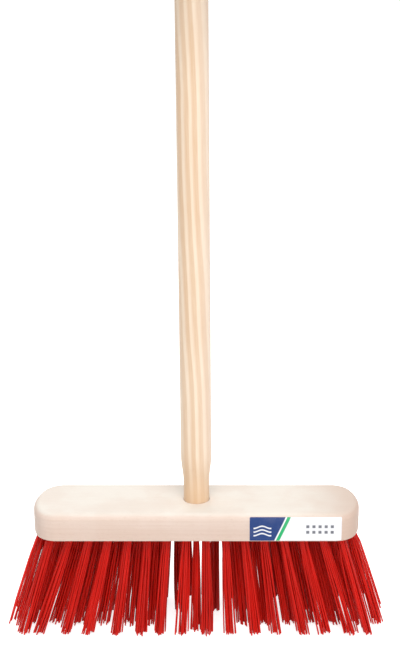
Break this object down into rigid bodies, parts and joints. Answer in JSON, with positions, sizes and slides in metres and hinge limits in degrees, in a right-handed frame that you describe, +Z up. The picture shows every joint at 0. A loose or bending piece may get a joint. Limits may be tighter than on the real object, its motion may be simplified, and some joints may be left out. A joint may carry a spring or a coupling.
{
  "type": "street broom",
  "caption": "Street broom: a rounded beech head with staggered rows of red plastic bristle tufts, on a long turned pine handle.",
  "frame": {"origin": "on the ground under the handle's axis, where the middle tufts stand", "axes": "+X along the head, to the right seen from the labelled front, -Y out of the front, +Z up along the handle"},
  "size_m": [0.3508, 0.077, 1.5008],
  "materials": {
    "head_wood": "plain sanded beech",
    "handle_wood": "turned pine",
    "bristles": "glossy red plastic strands",
    "screw": "plain steel",
    "label": "coated paper"
  },
  "bodies": {
    "root": {"head_block": "head_wood", "handle": "handle_wood", "handle_screw": "screw", "label": "label", "tuft_front_01": "bristles", "tuft_front_02": "bristles", "tuft_front_03": "bristles", "tuft_front_04": "bristles", "tuft_front_05": "bristles", "tuft_front_06": "bristles", "tuft_front_07": "bristles", "tuft_front_08": "bristles", "tuft_front_09": "bristles", "tuft_front_10": "bristles", "tuft_front_11": "bristles", "tuft_front_12": "bristles", "tuft_front_13": "bristles", "tuft_front_14": "bristles", "tuft_front_15": "bristles", "tuft_front_16": "bristles", "tuft_second_01": "bristles", "tuft_second_02": "bristles", "tuft_second_03": "bristles", "tuft_second_04": "bristles", "tuft_second_05": "bristles", "tuft_second_06": "bristles", "tuft_second_07": "bristles", "tuft_second_08": "bristles", "tuft_second_09": "bristles", "tuft_second_10": "bristles", "tuft_second_11": "bristles", "tuft_second_12": "bristles", "tuft_second_13": "bristles", "tuft_second_14": "bristles", "tuft_third_01": "bristles", "tuft_third_02": "bristles", "tuft_third_03": "bristles", "tuft_third_04": "bristles", "tuft_third_05": "bristles", "tuft_third_06": "bristles", "tuft_third_07": "bristles", "tuft_third_08": "bristles", "tuft_back_01": "bristles", "tuft_back_02": "bristles", "tuft_back_03": "bristles", "tuft_back_04": "bristles", "tuft_back_05": "bristles", "tuft_back_06": "bristles", "tuft_back_07": "bristles", "tuft_back_08": "bristles", "tuft_back_09": "bristles", "tuft_back_10": "bristles", "tuft_back_11": "bristles", "tuft_back_12": "bristles", "tuft_back_13": "bristles", "tuft_back_14": "bristles", "tuft_back_15": "bristles", "tuft_back_16": "bristles", "tuft_middle": "bristles"}
  },
  "joints": []
}
